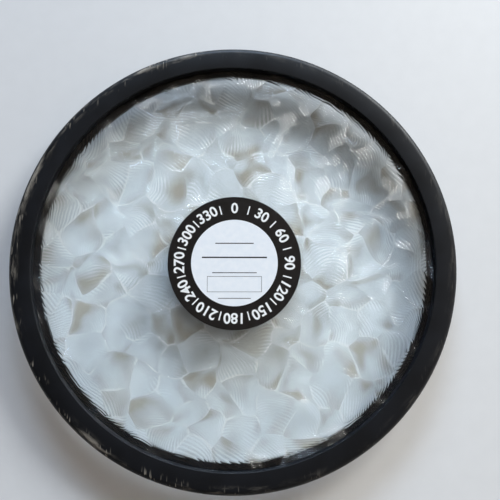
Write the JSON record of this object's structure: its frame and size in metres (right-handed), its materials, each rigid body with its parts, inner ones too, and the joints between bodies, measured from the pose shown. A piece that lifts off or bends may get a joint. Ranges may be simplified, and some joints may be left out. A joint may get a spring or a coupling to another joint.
{
  "type": "projector effects wheel",
  "caption": "Round distortion effects wheel: clear acrylic disc with a scooped face, a thin black rim, and a labelled hub whose boss stands out behind with a blind spindle bore.",
  "frame": {"origin": "on the wheel's axis, in the plane that the end of the hub rests on", "axes": "+Z is the wheel's axis, towards the label side; +X is to the right and +Y is up when the label is seen upright"},
  "size_m": [0.1524, 0.1524, 0.01],
  "materials": {
    "rim": "black moulded plastic, satin, scuffed along the outer edge",
    "disc": "clear acrylic, scooped and finely ridged on the front face, polished behind",
    "hub": "black moulded plastic, satin",
    "washer": "black sheet rubber",
    "bush": "turned brass",
    "magnet": "nickel plated",
    "screws": "bright zinc plated",
    "label": "printed vinyl, black ring and white centre"
  },
  "bodies": {
    "root": {"rim_front": "rim", "rim_back": "rim", "distortion_disc": "disc", "hub_front": "hub", "hub_back": "hub", "hub_washer": "washer", "spindle_bush": "bush", "hub_magnet": "magnet", "hub_screws": "screws", "label": "label"}
  },
  "joints": []
}
